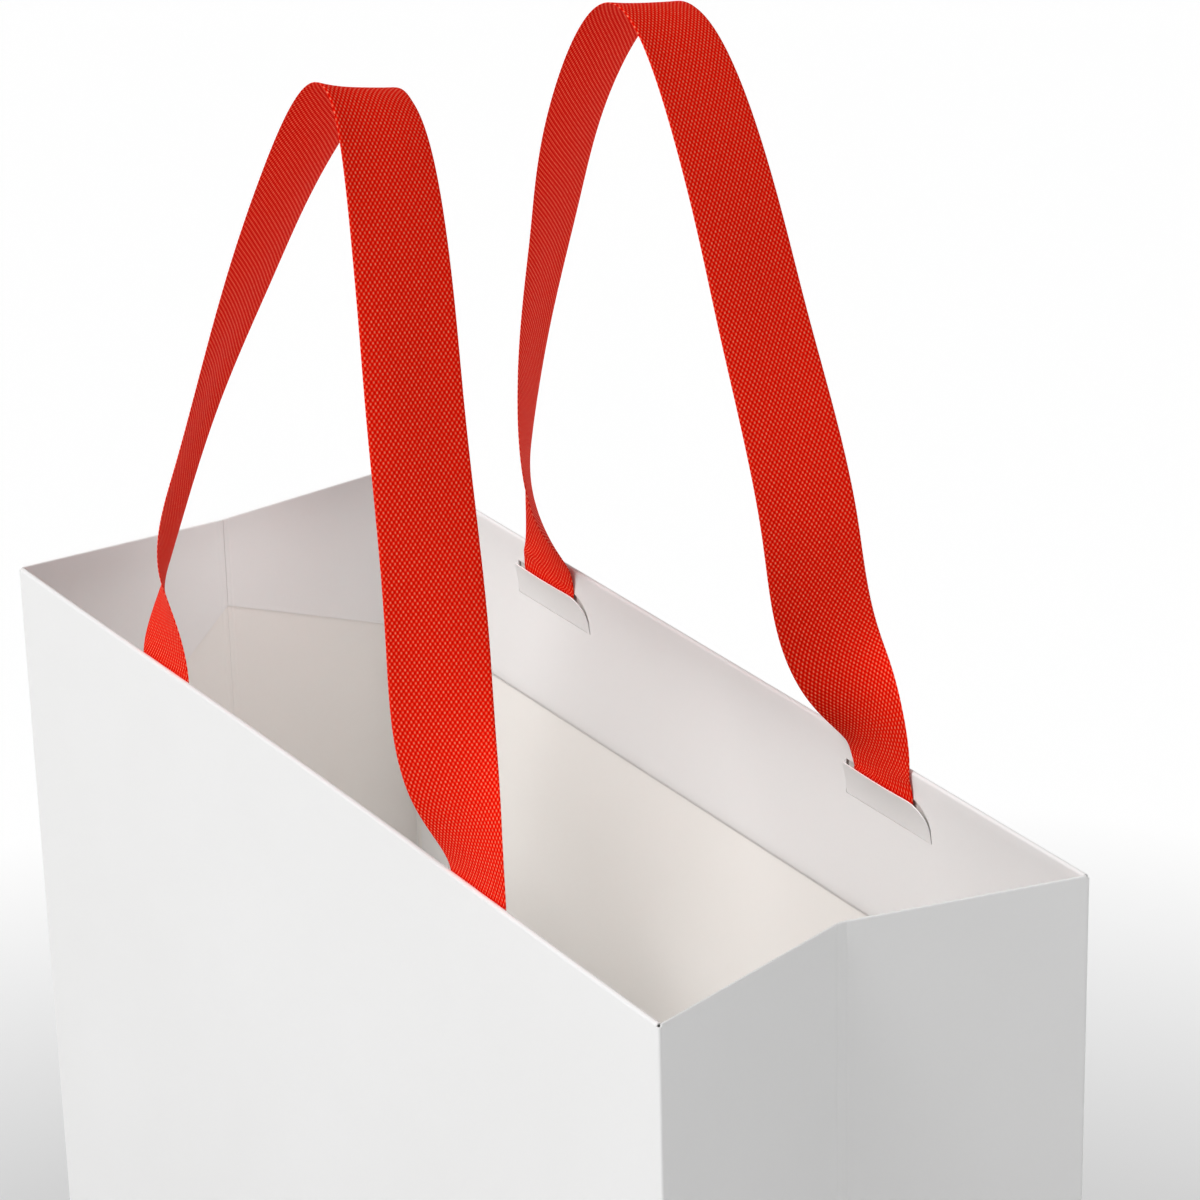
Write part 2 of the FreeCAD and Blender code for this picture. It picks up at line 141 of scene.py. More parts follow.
def paper_surface_group():
    """Fibres under the film, slow mottle of the tone, and the faint orange peel of the film itself."""
    group, source, result = socket_group(
        "Paper Surface",
        [
            ("Vector", "Vector", None),
            ("Tone", "Color", None),
            ("Shade", "Color", None),
            ("Fibre Scale", "Float", None),
            ("Gloss", "Float", None),
        ],
        [("Colour", "Color"), ("Roughness", "Float"), ("Height", "Float")],
    )
    where = source.outputs["Vector"]
    mottle = noise(group, where, 9.0, detail=3.0, roughness=0.55)
    fibres = noise(group, where, source.outputs["Fibre Scale"], detail=4.0, roughness=0.6)
    peel = noise(group, where, 260.0)
    cloudy = remap(group, mottle, 0.35, 0.65, 0.0, 0.75)
    speck = remap(group, fibres, 0.3, 0.75, 0.0, 0.3)
    share = sums(group, "ADD", cloudy, speck, clamp=True)
    tone = blend_colours(group, share, source.outputs["Tone"], source.outputs["Shade"])
    rough = sums(group, "MULTIPLY_ADD", mottle, 0.14, source.outputs["Gloss"])
    rough = sums(group, "MULTIPLY_ADD", fibres, 0.05, rough)
    height = sums(group, "MULTIPLY_ADD", peel, 0.6, sums(group, "MULTIPLY", fibres, 0.4))
    group.links.new(tone, result.inputs["Colour"])
    group.links.new(rough, result.inputs["Roughness"])
    group.links.new(height, result.inputs["Height"])
    return group


paper_surface = paper_surface_group()


def paper_finish(name, tone, shade, gloss, fibre_scale, coat, peel):
    """A paper or card: tone with a darker shade in it, and coat and peel for a laminating film."""
    finish = bpy.data.materials.new(name)
    finish.use_nodes = True
    tree = finish.node_tree
    shader = next(n for n in tree.nodes if n.type == "BSDF_PRINCIPLED")
    surface = tree.nodes.new("ShaderNodeGroup")
    surface.node_tree = paper_surface
    feed(tree, surface.inputs["Vector"], tree.nodes.new("ShaderNodeTexCoord").outputs["Object"])
    surface.inputs["Tone"].default_value = (*tone, 1)
    surface.inputs["Shade"].default_value = (*shade, 1)
    surface.inputs["Gloss"].default_value = gloss
    surface.inputs["Fibre Scale"].default_value = fibre_scale
    bump = tree.nodes.new("ShaderNodeBump")
    bump.inputs["Strength"].default_value = peel
    bump.inputs["Distance"].default_value = 0.05 * MM
    feed(tree, bump.inputs["Height"], surface.outputs["Height"])
    feed(tree, shader.inputs["Base Color"], surface.outputs["Colour"])
    feed(tree, shader.inputs["Roughness"], surface.outputs["Roughness"])
    feed(tree, shader.inputs["Normal"], bump.outputs["Normal"])
    shader.inputs["Coat Weight"].default_value = coat
    shader.inputs["Coat Roughness"].default_value = 0.28
    shader.inputs["IOR"].default_value = 1.48
    return finish


satin_paper = paper_finish(
    "satin laminated paper",
    tone=(0.90, 0.898, 0.895),
    shade=(0.875, 0.872, 0.866),
    gloss=0.34,
    fibre_scale=1100.0,
    coat=0.25,
    peel=0.12,
)
inside_paper = paper_finish(
    "inside of the wrap paper",
    tone=(0.93, 0.915, 0.885),
    shade=(0.91, 0.892, 0.858),
    gloss=0.55,
    fibre_scale=900.0,
    coat=0.0,
    peel=0.2,
)


def sheet_mesh(name, rows, finishes, thickness=PAPER, gaps=None, flip=False):
    """A sheet of paper from rows of points on its outer face. gaps marks the faces that are left out."""
    rows = np.array(rows, float)
    count_rows, count_columns = rows.shape[:2]
    faces = []
    for r in range(count_rows - 1):
        for c in range(count_columns - 1):
            if gaps is not None and gaps[r][c]:
                continue
            corner = r * count_columns + c
            ring = [corner, corner + 1, corner + count_columns + 1, corner + count_columns]
            faces.append(ring[::-1] if flip else ring)
    used = sorted({i for face in faces for i in face})
    number = {old: new for new, old in enumerate(used)}
    points = rows.reshape(-1, 3)[used]
    mesh = bpy.data.meshes.new(name)
    mesh.from_pydata(points.tolist(), [], [[number[i] for i in face] for face in faces])
    mesh.shade_smooth()
    mesh.set_sharp_from_angle(angle=SHARP_FOLD)
    face_count = np.zeros(len(mesh.edges), int)
    for polygon in mesh.polygons:
        for loop in polygon.loop_indices:
            face_count[mesh.loops[loop].edge_index] += 1
    for edge, count in zip(mesh.edges, face_count):
        if count == 1:
            edge.use_edge_sharp = True      # cut edges of the sheet are square
    piece = bpy.data.objects.new(name, mesh)
    bpy.context.scene.collection.objects.link(piece)
    for finish in finishes:
        mesh.materials.append(finish)
    body = piece.modifiers.new("paper thickness", "SOLIDIFY")
    body.thickness = thickness
    body.offset = -1
    body.use_even_offset = True
    body.material_offset = len(finishes) - 1
    body.material_offset_rim = 0
    return piece


def spread(low, high, step):
    """Even stations from low to high, no further apart than step."""
    return np.linspace(low, high, max(2, int(math.ceil((high - low) / step)) + 1))


def to_wall(wall, across, depth, up):
    """A point given by its place in the wall's own frame: depth is counted in from the outer face."""
    turn = -1 if wall == "front" else 1
    return (-turn * across, turn * (HALF_DEPTH - depth), up)


def bow(wall, across, up):
    """The front wall's sheet stands in a little between its corners, most at the rim."""
    if wall == "back":
        return 0.0
    middle = math.cos(math.pi / 2 * min(1, abs(across) / HALF_WIDTH)) ** 2
    return WALL_BOW * middle * max(0.0, min(1.0, (up - CROSS_CREASE) / (RIM - CROSS_CREASE))) ** 1.5


def wall_outline(wall, up):
    """The outer face of a wall from one gusset to the other, round both corners, at one height."""
    corners = []
    for sign in (-1, 1):
        side = "right" if (sign > 0) == (wall == "front") else "left"
        turn = math.pi / 2 + GUSSET_LEAN[side]
        reach = CORNER_BEND * math.tan(turn / 2)
        arc = []
        for angle in np.linspace(0, turn, 6):
            across = HALF_WIDTH - reach + CORNER_BEND * math.sin(angle)
            depth = CORNER_BEND * (1 - math.cos(angle))
            arc.append((sign * across, depth))
        corners.append(arc)
    flat = HALF_WIDTH - CORNER_BEND * 1.5
    middle = [(x, 0.0) for x in spread(-flat, flat, 6 * MM)]
    outline = corners[0][::-1] + middle + corners[1]
    return [to_wall(wall, x, depth + bow(wall, x, up), up) for x, depth in outline]


def wall_panel(name, wall, low, high, body, node):
    """One panel of a wall between two creases, with its corner bends."""
    rows = [wall_outline(wall, up) for up in spread(low, high, 12 * MM)]
    piece = sheet_mesh(name, rows, [satin_paper, inside_paper])
    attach(piece, body)
    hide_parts(node)


wall_panel("front_wall_panel", "front", CROSS_CREASE + CREASE_GAP, BEND_LEVEL, "front_wall", "front_panel")
wall_panel("back_wall_panel", "back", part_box("back_panel")[0].z, BEND_LEVEL, "back_wall", "back_panel")
wall_panel(
    "front_lower_panel_sheet",
    "front",
    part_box("front_lower_panel")[0].z,
    CROSS_CREASE - CREASE_GAP,
    "front_strip",
    "front_lower_panel",
)

# ---- Cuffs of the walls ----
# The turned-in top of each wall: over the rim on a tight fold, then down inside as a glued leg.
# The die cuts two tongues in it, each with one square and one round top corner.

CUFF_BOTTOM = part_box("front_cuff")[0].z
CARD_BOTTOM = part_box("front_stiffener")[0].z    # below the card the cuff is glued to the wall itself
PRESSED_EDGE = 1.5 * MM                         # the cuff's lowest band is pressed down on the wall
CUFF_END_GAP = 1.2 * MM                         # from the end of the cuff to the bag's corner
TONGUE_WIDTH = 36 * MM
TONGUE_HEIGHT = 9.5 * MM
TONGUE_ROUND = 9 * MM                           # radius of the round top corner
TONGUE_SHIFT = 2 * MM                           # tongue's middle beside the ribbon's middle
SLOT_REACH = 78.5 * MM                          # ribbon's middle from the middle of the wall
KERF = 0.3 * MM                                 # width of the die cut
SCORE_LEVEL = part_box("front_cuff")[1].z - 17 * MM       # the tongues hinge here
HAIR = 1e-9                                     # slack in a comparison of places


def tongue_span(leg):
    """Left and right edge of a tongue in the wall's own frame."""
    middle = leg * SLOT_REACH - TONGUE_SHIFT
    return middle - TONGUE_WIDTH / 2, middle + TONGUE_WIDTH / 2


def tongue_top(across, leg, play=0.0):
    """Height of the die cut above the score line: it drops on a round at the left end."""
    left, right = tongue_span(leg)
    left -= play
    radius = TONGUE_ROUND + play
    height = TONGUE_HEIGHT + play
    if across >= left + radius:
        return height
    reach = min(radius, left + radius - across)
    return height - radius + math.sqrt(max(0.0, radius * radius - reach * reach))


def cuff_columns():
    """Stations across the cuff, close together over each tongue, with one on each edge of a cut."""
    edge = HALF_WIDTH - CUFF_END_GAP
    stops = [-edge]
    for leg in (-1, 1):
        left, right = tongue_span(leg)
        stops += [left - KERF, left + TONGUE_ROUND, right + KERF]
    stops.append(edge)
    columns = []
    for low, high in zip(stops, stops[1:]):
        step = 0.6 * MM if high - low < 12 * MM else 4 * MM     # close together round the round corner
        columns += list(spread(low, high, step))[:-1]
    return columns + [edge]


def wall_cuff(wall):
    """The cuff as one sheet from the rim down, with the two die cuts left open round their tongues."""
    columns = cuff_columns()
    lines = []                      # each line is one row: (depth, height) by column
    fold = np.linspace(0, math.pi, 9)
    for angle in fold:
        depth = RIM_BEND * (1 - math.cos(angle))
        lines.append([(depth, BEND_LEVEL + RIM_BEND * math.sin(angle))] * len(columns))
    in_cut = []
    tops = []
    for x in columns:
        found = None
        for leg in (-1, 1):
            left, right = tongue_span(leg)
            if left - KERF - HAIR <= x <= right + KERF + HAIR:
                found = leg
        in_cut.append(found)
        tops.append(SCORE_LEVEL + (tongue_top(x, found, KERF) if found else TONGUE_HEIGHT + KERF))
    for share in (0.35, 0.7, 1.0):
        lines.append([(CUFF_DEPTH, BEND_LEVEL + (top - BEND_LEVEL) * share) for top in tops])
    for share in (0.34, 0.67, 1.0):
        lines.append([(CUFF_DEPTH, top + (SCORE_LEVEL - top) * share) for top in tops])
    for up in spread(CARD_BOTTOM, SCORE_LEVEL, 4 * MM)[::-1][1:]:
        lines.append([(CUFF_DEPTH, up)] * len(columns))
    glued_depth = 2.2 * PAPER       # the wall's paper, the cuff's own and a film of glue
    for share in (0.0, 0.25, 0.5, 0.75, 1.0):
        settle = share * share * (3 - 2 * share)
        depth = CUFF_DEPTH + (glued_depth - CUFF_DEPTH) * settle
        lines.append([(depth, CUFF_BOTTOM + PRESSED_EDGE * (1 - share))] * len(columns))
    rows = []
    for line in lines:
        rows.append([to_wall(wall, x, d + bow(wall, x, up), up) for x, (d, up) in zip(columns, line)])
    first_cut_row = len(fold) + 2
    gaps = [[False] * (len(columns) - 1) for _ in range(len(rows) - 1)]
    for r in range(first_cut_row, first_cut_row + 3):
        for c in range(len(columns) - 1):
            gaps[r][c] = in_cut[c] is not None and in_cut[c] == in_cut[c + 1]
    piece = sheet_mesh(f"{wall}_wall_cuff", rows, [satin_paper, inside_paper], gaps=gaps)
    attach(piece, f"{wall}_wall")
    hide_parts(f"{wall}_cuff")


for wall in ("front", "back"):
    wall_cuff(wall)

# ---- Tongues ----
# Each tongue hinges on a score line in the cuff. The ribbon comes up behind it and pushes its free edge
# in towards the bag's inside, so it bulges most where the ribbon passes.

TONGUE_LEAN = math.radians(12.5)
TONGUE_CUP = 0.3                # how much less the tongue's two sides are pushed in than its middle


def tongue_sheet(wall, leg, name, node):
    """One tongue from its score line up, leaning in and a little cupped."""
    left, right = tongue_span(leg)
    across = list(spread(left, left + TONGUE_ROUND, 0.5 * MM))[:-1]
    across += list(spread(left + TONGUE_ROUND, right, 1.5 * MM))
    rows = []
    for share in np.linspace(0.02, 1, 9):
        row = []
        for x in across:
            height = share * tongue_top(x, leg)
            off = abs(x - leg * SLOT_REACH) / (TONGUE_WIDTH / 2)
            push = 1.0 - TONGUE_CUP * min(1.0, off) ** 2
            curl = height * math.sin(TONGUE_LEAN) * push * (0.55 + 0.45 * min(1.0, height / TONGUE_HEIGHT))
            depth = CUFF_DEPTH + curl
            up = SCORE_LEVEL + height * math.cos(TONGUE_LEAN * push)
            row.append(to_wall(wall, x, depth + bow(wall, x, up), up))
        rows.append(row)
    piece = sheet_mesh(name, rows, [satin_paper, inside_paper], flip=True)
    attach(piece, node)
    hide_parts(node)


for wall in ("front", "back"):
    for leg in (-1, 1):
        hand = "right" if (leg > 0) == (wall == "front") else "left"
        tongue_sheet(wall, leg, f"{wall}_{hand}_tongue_sheet", f"{wall}_{hand}_tongue")

# ---- Card strips ----
# A strip of uncoated white card is glued behind each cuff. It keeps the rim straight, and shows
# only as a thin line at the two ends and through the tongue slots.

CARD = 0.38 * MM
CARD_TOP_GAP = 0.3 * MM         # under the fold of the rim
rim_card = paper_finish(
    "uncoated rim card",
    tone=(0.80, 0.79, 0.765),
    shade=(0.74, 0.73, 0.70),
    gloss=0.72,
    fibre_scale=700.0,
    coat=0.0,
    peel=0.5,
)


def card_strip(wall):
    """The strip against the inside of the wall's paper."""
    low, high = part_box(f"{wall}_stiffener")
    rows = []
    for up in spread(low.z, high.z - CARD_TOP_GAP, 8 * MM):
        stations = spread(low.x, high.x, 6 * MM)
        rows.append([to_wall(wall, x, PAPER + bow(wall, x, up), up) for x in stations])
    piece = sheet_mesh(f"{wall}_rim_card", rows, [rim_card], thickness=CARD)
    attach(piece, f"{wall}_wall")
    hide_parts(f"{wall}_stiffener")


for wall in ("front", "back"):
    card_strip(wall)

# ---- Gussets ----
# The two narrow sides of the same sheet, each scored down the middle so that it can fold in. The right
# one stands well in at its centre crease, the left one is nearly flat. Each half turns in at the top as
# a short cuff, notched on a slant towards the crease, and a band at the crease is pressed by the score.

GUSSET_START = 0.8 * MM         # from the bag's corner, where the wall's bend ends
CREASE_BEND = 5 * MM            # outer radius of the sheet at the centre crease
SCORE_BAND = 1.5 * MM           # half width of the band that the scoring rule leaves
SCORE_LINE = 0.5 * MM           # half width of the pressed line along each edge of that band
SCORE_PRESS = 0.12 * MM
FINE_BAND = 4 * MM              # stations are close together this near to the crease
TIP_GAP = 0.3 * MM              # a panel that runs out to a point stops this far short of it
NOTCH_DEPTH = 27 * MM           # length of the turned-in cuff at the crease
NOTCH_RUN = 23 * MM             # the front half's slant starts this far from the crease
BACK_NOTCH_START = 6 * MM       # the back half's slant starts this far from the bag's corner


def to_gusset(side, half, along, depth, up):
    """A point in a gusset half's own frame: along runs from the bag's corner to the centre crease."""
    lean = GUSSET_LEAN[side]
    out = 1 if side == "right" else -1
    ahead = 1 if half == "front" else -1
    across = HALF_WIDTH - along * math.sin(lean) - depth * math.cos(lean)
    back = HALF_DEPTH - along * math.cos(lean) + depth * math.sin(lean)
    return (out * across, -ahead * back, up)


def crease_shape(side, along):
    """How far the outer face stands in from the flat half: the round of the crease and the scored band."""
    reach = CREASE_BEND * math.tan(GUSSET_LEAN[side])
    left = GUSSET_SPAN[side] - along
    pressed = SCORE_PRESS * max(0.0, 1 - abs(left - SCORE_BAND) / SCORE_LINE)
    if left >= reach:
        return pressed
    # the arc meets the mirror plane square on, so it falls short of the sharp crease
    return pressed - (reach - left) ** 2 / (2 * CREASE_BEND)


def gusset_columns(side, start=GUSSET_START):
    """Stations from the bag's corner to the centre crease."""
    fine = GUSSET_SPAN[side] - FINE_BAND
    coarse = list(spread(start, fine, 6 * MM))[:-1]
    return coarse + list(spread(fine, GUSSET_SPAN[side] - 0.02 * MM, 0.25 * MM))


def gusset_rows(side, half, columns, bottoms, tops, count):
    """Rows of a panel in a gusset half, evenly spaced between its two edges."""
    rows = []
    for share in np.linspace(0, 1, count):
        row = []
        for s, low, high in zip(columns, bottoms, tops):
            up = low + (high - low) * share
            row.append(to_gusset(side, half, s, crease_shape(side, s), up))
        rows.append(row)
    return rows


def gusset_sheets(side):
    """Both halves of a gusset, and the facet under the front half's cross crease."""
    span = GUSSET_SPAN[side]
    slope = CROSS_CREASE / span
    columns = gusset_columns(side)
    top = RIM - PAPER
    turned = side == "left"
    for half in ("front", "back"):
        flip = (half == "back") != turned
        if half == "front":
            bottoms = [CROSS_CREASE + CREASE_GAP] * len(columns)
        else:
            bottoms = [s * slope + CREASE_GAP * 3 for s in columns]
        rows = gusset_rows(side, half, columns, bottoms, [top] * len(columns), 36)
        piece = sheet_mesh(f"{side}_gusset_{half}_panel", rows, [satin_paper, inside_paper], flip=flip)
        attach(piece, f"{side}_gusset_{half}")
        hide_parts(f"{side}_gusset_{half}")
    facet_columns = list(spread(GUSSET_START, span - TIP_GAP, 4 * MM))
    bottoms = [s * slope + CREASE_GAP * 3 for s in facet_columns]
    tops = [max(CROSS_CREASE - CREASE_GAP, low + 0.05 * MM) for low in bottoms]
    rows = gusset_rows(side, "front", facet_columns, bottoms, tops, 8)
    piece = sheet_mesh(f"{side}_front_facet_sheet", rows, [satin_paper, inside_paper], flip=turned)
    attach(piece, f"{side}_facet")
    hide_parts(f"{side}_front_facet")


def gusset_cuff(side, half):
    """The turned-in top of one half: a tight fold at the rim and a leg that is cut on a slant."""
    span = GUSSET_SPAN[side]
    columns = gusset_columns(side, start=CUFF_END_GAP)
    full = RIM - CUFF_BOTTOM
    begin = span - NOTCH_RUN if half == "front" else BACK_NOTCH_START
    bend = PAPER
    rows = []
    for angle in np.linspace(0, math.pi, 7):
        row = []
        for s in columns:
            depth = bend * (1 - math.cos(angle)) + crease_shape(side, s)
            row.append(to_gusset(side, half, s, depth, RIM - bend + bend * math.sin(angle)))
        rows.append(row)
    for share in np.linspace(0.12, 1, 12):
        row = []
        for s in columns:
            slant = min(1.0, max(0.0, (s - begin) / (span - begin)))
            length = full + (NOTCH_DEPTH - full) * slant
            up = RIM - bend - (length - bend) * share
            row.append(to_gusset(side, half, s, 2 * bend + crease_shape(side, s), up))
        rows.append(row)
    turned = side == "left"
    piece = sheet_mesh(
        f"{side}_gusset_{half}_turn_in",
        rows,
        [satin_paper, inside_paper],
        thickness=PAPER * 0.95,
        flip=(half == "back") != turned,
    )
    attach(piece, f"{side}_gusset_{half}")
    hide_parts(f"{side}_gusset_{half}_cuff")


for side in ("left", "right"):
    gusset_sheets(side)
    for half in ("front", "back"):
        gusset_cuff(side, half)

# ---- Base ----
# The bottom flaps are folded in and glued over each other: sides first, then front and back. A loose
# board lies on them inside. The foot of each gusset is a triangle that leans in from the side flap.

base_board_card = paper_finish(
    "smooth base board",
    tone=(0.82, 0.81, 0.79),
    shade=(0.77, 0.76, 0.735),
    gloss=0.6,
    fibre_scale=600.0,
    coat=0.0,
    peel=0.4,
)


def base_triangle_sheet(side):
    """The foot of a gusset: a triangle from the base's side edge up to the centre crease."""
    node = f"{side}_base_triangle"
    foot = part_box(node)[0].z
    push = GUSSET_PUSH[side]
    slope = math.hypot(CROSS_CREASE, push)
    lean = math.atan2(push, CROSS_CREASE)
    out = 1 if side == "right" else -1
    half_foot = HALF_DEPTH * (1 - foot / (slope * math.cos(lean))) - 0.2 * MM
    tip = slope - TIP_GAP
    start = foot / math.cos(lean)
    parts = np.linspace(-1, 1, 17)
    rows = []
    for share in np.linspace(0, 1, 16):
        rise = start + (tip - start) * share
        across = HALF_WIDTH - rise * math.sin(lean)
        reach = max(half_foot * (1 - share), 0.02 * MM)
        rows.append([(out * across, part * reach, rise * math.cos(lean)) for part in parts])
    piece = sheet_mesh(f"{node}_sheet", rows, [satin_paper, inside_paper], flip=side == "left")
    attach(piece, f"{side}_triangle")
    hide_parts(node)


for side in ("left", "right"):
    base_triangle_sheet(side)

for place in ("front_bottom", "back_bottom", "left_bottom", "right_bottom", "side_seam"):
    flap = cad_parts[f"{place}_flap"]
    flap.data.materials.clear()
    flap.data.materials.append(satin_paper)
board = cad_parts["base_board"]
board.data.materials.clear()
board.data.materials.append(base_board_card)

# ---- Ribbon handles ----
# Each handle is one length of woven red ribbon. Its ends are glued between the card strip and the cuff,
# come out through the tongue slots and rise past the rim. Above the rim each leg turns edge-on, so that
# the top of the loop lies flat across a palm.

RIBBON_WIDTH = 25 * MM
RIBBON_THICK = 0.4 * MM
SELVEDGE = 0.45                 # thickness of the very edge, as a share of the ribbon's
UNDER_CUFF = 0.95 * MM          # ribbon's middle, counted in from the wall's outer face
AT_RIM = 1.8 * MM               # the same where it passes the rim
GLUED_TOP = -12.5 * MM          # from the rim: below this the ribbon lies flat under the cuff
FREE_FROM = RIM + 11 * MM       # the loop piece starts here
PATH_POINTS = 900
SOFT_FOLD = {"front": 0.7 * MM, "back": 0.35 * MM}      # depth of the slack ribbon's gentle waves
FLOAT_WIDTH = 0.59 * MM         # spacing of the weave's floats across the ribbon
FLOAT_LENGTH = 0.84 * MM        # and along it

# glued end, from its tail up to the slot: how far in from the wall's outer face, and height from the rim
GLUED_ROUTE = [
    (UNDER_CUFF, -42 * MM),
    (UNDER_CUFF, -20 * MM),
    (UNDER_CUFF, GLUED_TOP),
    (UNDER_CUFF + 0.1 * MM, -10.8 * MM),
    (AT_RIM - 0.1 * MM, -8.6 * MM),
    (AT_RIM, -7 * MM),
]

# Stations along each handle, from its right leg over the top to its left one, in millimetres and degrees:
# across, in from the rim, above the rim, the turn of the ribbon's width from the wall, and its tilt.
FRONT_ROUTE = [
    (78.5, 0, 0, 0, 0),
    (72, -2, 25, 34, 6),
    (62, 1, 60, 67, 0),
    (46, 7, 110, 79, 0),
    (33, 12, 150, 85, -2),
    (12, 17, 180, 95, -17),
    (-25, 17, 150, 108, -4),
    (-51, 15, 110, 117, 0),
    (-76, 10, 60, 130, 0),
    (-83, 4, 25, 145, 4),
    (-78.5, 0, 0, 180, 0),
]
BACK_ROUTE = [
    (78, 0.3, -4, 0, 0),
    (77.2, 0.9, 2, 5, 0),
    (67, 6, 25, 48, 2),
    (61, 10, 60, 69, 3),
    (43, 11, 110, 82, 1),
    (27, 12, 150, 91, 1),
    (-3, 12, 181, 97, -12),
    (-34, 13, 150, 106, -1),
    (-54, 10, 110, 117, 0),
    (-69, 10, 60, 130, 6),
    (-72, 9, 25, 150, 14),
    (-77.6, 0.9, 2, 175, 1),
    (-78, 0.3, -4, 180, 0),
]


def ribbon_weave_group():
    """Canvas weave by the ribbon's own length and width: a brick lattice of floats, with painted shade
    between them and a painted highlight on their crowns.
    """
    group, source, result = socket_group(
        "Ribbon Weave",
        [
            ("Vector", "Vector", None),
            ("Float Width", "Float", FLOAT_WIDTH),
            ("Float Length", "Float", FLOAT_LENGTH),
            ("Thread", "Color", None),
            ("Painted Gap Shade", "Color", None),
            ("Painted Highlight", "Color", None),
        ],
        [("Colour", "Color"), ("Roughness", "Float"), ("Height", "Float")],
    )
    where = source.outputs["Vector"]
    split = group.nodes.new("ShaderNodeSeparateXYZ")
    group.links.new(where, split.inputs[0])
    wander = noise(group, where, 60.0)
    stray = sums(group, "MULTIPLY", sums(group, "SUBTRACT", wander, 0.5), 0.9)
    wide = sums(group, "DIVIDE", split.outputs["X"], source.outputs["Float Width"])
    wide = sums(group, "ADD", wide, stray)
    long = sums(group, "DIVIDE", split.outputs["Y"], source.outputs["Float Length"])
    wave_wide = sums(group, "COSINE", sums(group, "MULTIPLY", wide, math.pi))
    wave_long = sums(group, "COSINE", sums(group, "MULTIPLY", long, math.pi))
    lattice = sums(group, "MULTIPLY", wave_wide, wave_long)
    height = sums(group, "MULTIPLY_ADD", lattice, 0.5, 0.5)
    body = remap(group, height, 0.12, 0.55, 0.0, 1.0)
    crown = remap(group, height, 0.6, 1.0, 0.0, 1.0)
    # patches where the painted highlight on the crowns is stronger
    shade = noise(group, where, 900.0)
    # painted shade: the hollows between the floats take a darker red than the thread
    colour = blend_colours(group, body, source.outputs["Painted Gap Shade"], source.outputs["Thread"])
    # painted highlight: the crowns of the floats take a light salmon colour
    painted_glint = sums(group, "MULTIPLY", crown, remap(group, shade, 0.3, 0.7, 0.35, 1.0))
    colour = blend_colours(group, painted_glint, colour, source.outputs["Painted Highlight"])
    rough = remap(group, height, 0.0, 1.0, 0.78, 0.50)
    group.links.new(colour, result.inputs["Colour"])
    group.links.new(rough, result.inputs["Roughness"])
    group.links.new(height, result.inputs["Height"])
    return group


def ribbon_finish():
    """Red thread with a low warm shine, and painted shade and painted highlights in its weave. The weave
    follows the ribbon's own length and width.
    """
    finish = bpy.data.materials.new("woven red ribbon")
    finish.use_nodes = True
    tree = finish.node_tree
    shader = next(n for n in tree.nodes if n.type == "BSDF_PRINCIPLED")
    weave = tree.nodes.new("ShaderNodeGroup")
    weave.node_tree = ribbon_weave_group()
    feed(tree, weave.inputs["Vector"], tree.nodes.new("ShaderNodeUVMap").outputs["UV"])
    weave.inputs["Thread"].default_value = (0.95, 0.018, 0.004, 1)
    # painted shade: a darker red for the hollows between the floats
    weave.inputs["Painted Gap Shade"].default_value = (0.74, 0.002, 0.0, 1)
    # painted highlight: a light salmon on the crowns of the floats
    weave.inputs["Painted Highlight"].default_value = (1.0, 0.33, 0.20, 1)
    bump = tree.nodes.new("ShaderNodeBump")
    bump.inputs["Strength"].default_value = 0.8
    bump.inputs["Distance"].default_value = 0.12 * MM
    feed(tree, bump.inputs["Height"], weave.outputs["Height"])
    feed(tree, shader.inputs["Base Color"], weave.outputs["Colour"])
    feed(tree, shader.inputs["Roughness"], weave.outputs["Roughness"])
    feed(tree, shader.inputs["Normal"], bump.outputs["Normal"])
    shader.inputs["Metallic"].default_value = 0.25
    shader.inputs["Specular IOR Level"].default_value = 0.03
    shader.inputs["Specular Tint"].default_value = (1.0, 0.30, 0.18, 1)
    return finish


woven_ribbon = ribbon_finish()


def smooth_between(stops, values):
    """Natural cubic through the values at the stops, as a function of the place along them."""
    stops, values = np.array(stops, float), np.array(values, float)
    count = len(stops)
    gap = np.diff(stops)
    system = np.eye(count)
    right = np.zeros_like(values)
    for n in range(1, count - 1):
        system[n, n - 1 : n + 2] = gap[n - 1], 2 * (gap[n - 1] + gap[n]), gap[n]
        right[n] = 6 * ((values[n + 1] - values[n]) / gap[n] - (values[n] - values[n - 1]) / gap[n - 1])
    bend = np.linalg.solve(system, right)

    def value_at(place):
        n = int(min(max(np.searchsorted(stops, place) - 1, 0), count - 2))
        h = gap[n]
        a, b = (stops[n + 1] - place) / h, (place - stops[n]) / h
        straight = a * values[n] + b * values[n + 1]
        return straight + ((a**3 - a) * bend[n] + (b**3 - b) * bend[n + 1]) * h * h / 6

    return value_at


def ribbon_path(wall, route):
    """Close points along the whole ribbon, tail to tail, each with the ribbon's turn and tilt."""
    inward = 1 if wall == "front" else -1
    right_end = [(SLOT_REACH, depth - AT_RIM, up, 0.0, 0.0) for depth, up in GLUED_ROUTE]
    left_end = [(-SLOT_REACH, depth - AT_RIM, up, math.pi, 0.0) for depth, up in GLUED_ROUTE[::-1]]
    free = np.array(route, float)
    free[:, :3] *= MM
    free[:, 3:] = np.radians(free[:, 3:])
    table = np.vstack([right_end, free, left_end])
    stops = np.concatenate([[0], np.cumsum(np.linalg.norm(np.diff(table[:, :3], axis=0), axis=1))])
    value_at = smooth_between(stops, table)
    dense = np.array([value_at(place) for place in np.linspace(0, stops[-1], PATH_POINTS)])
    dense[dense[:, 2] < GLUED_TOP, 1] = UNDER_CUFF - AT_RIM
    for row in dense:
        depth = AT_RIM + row[1] + bow(wall, row[0], min(RIM + row[2], RIM))
        row[1] = -inward * (HALF_DEPTH - depth)
        row[2] += RIM
    return dense


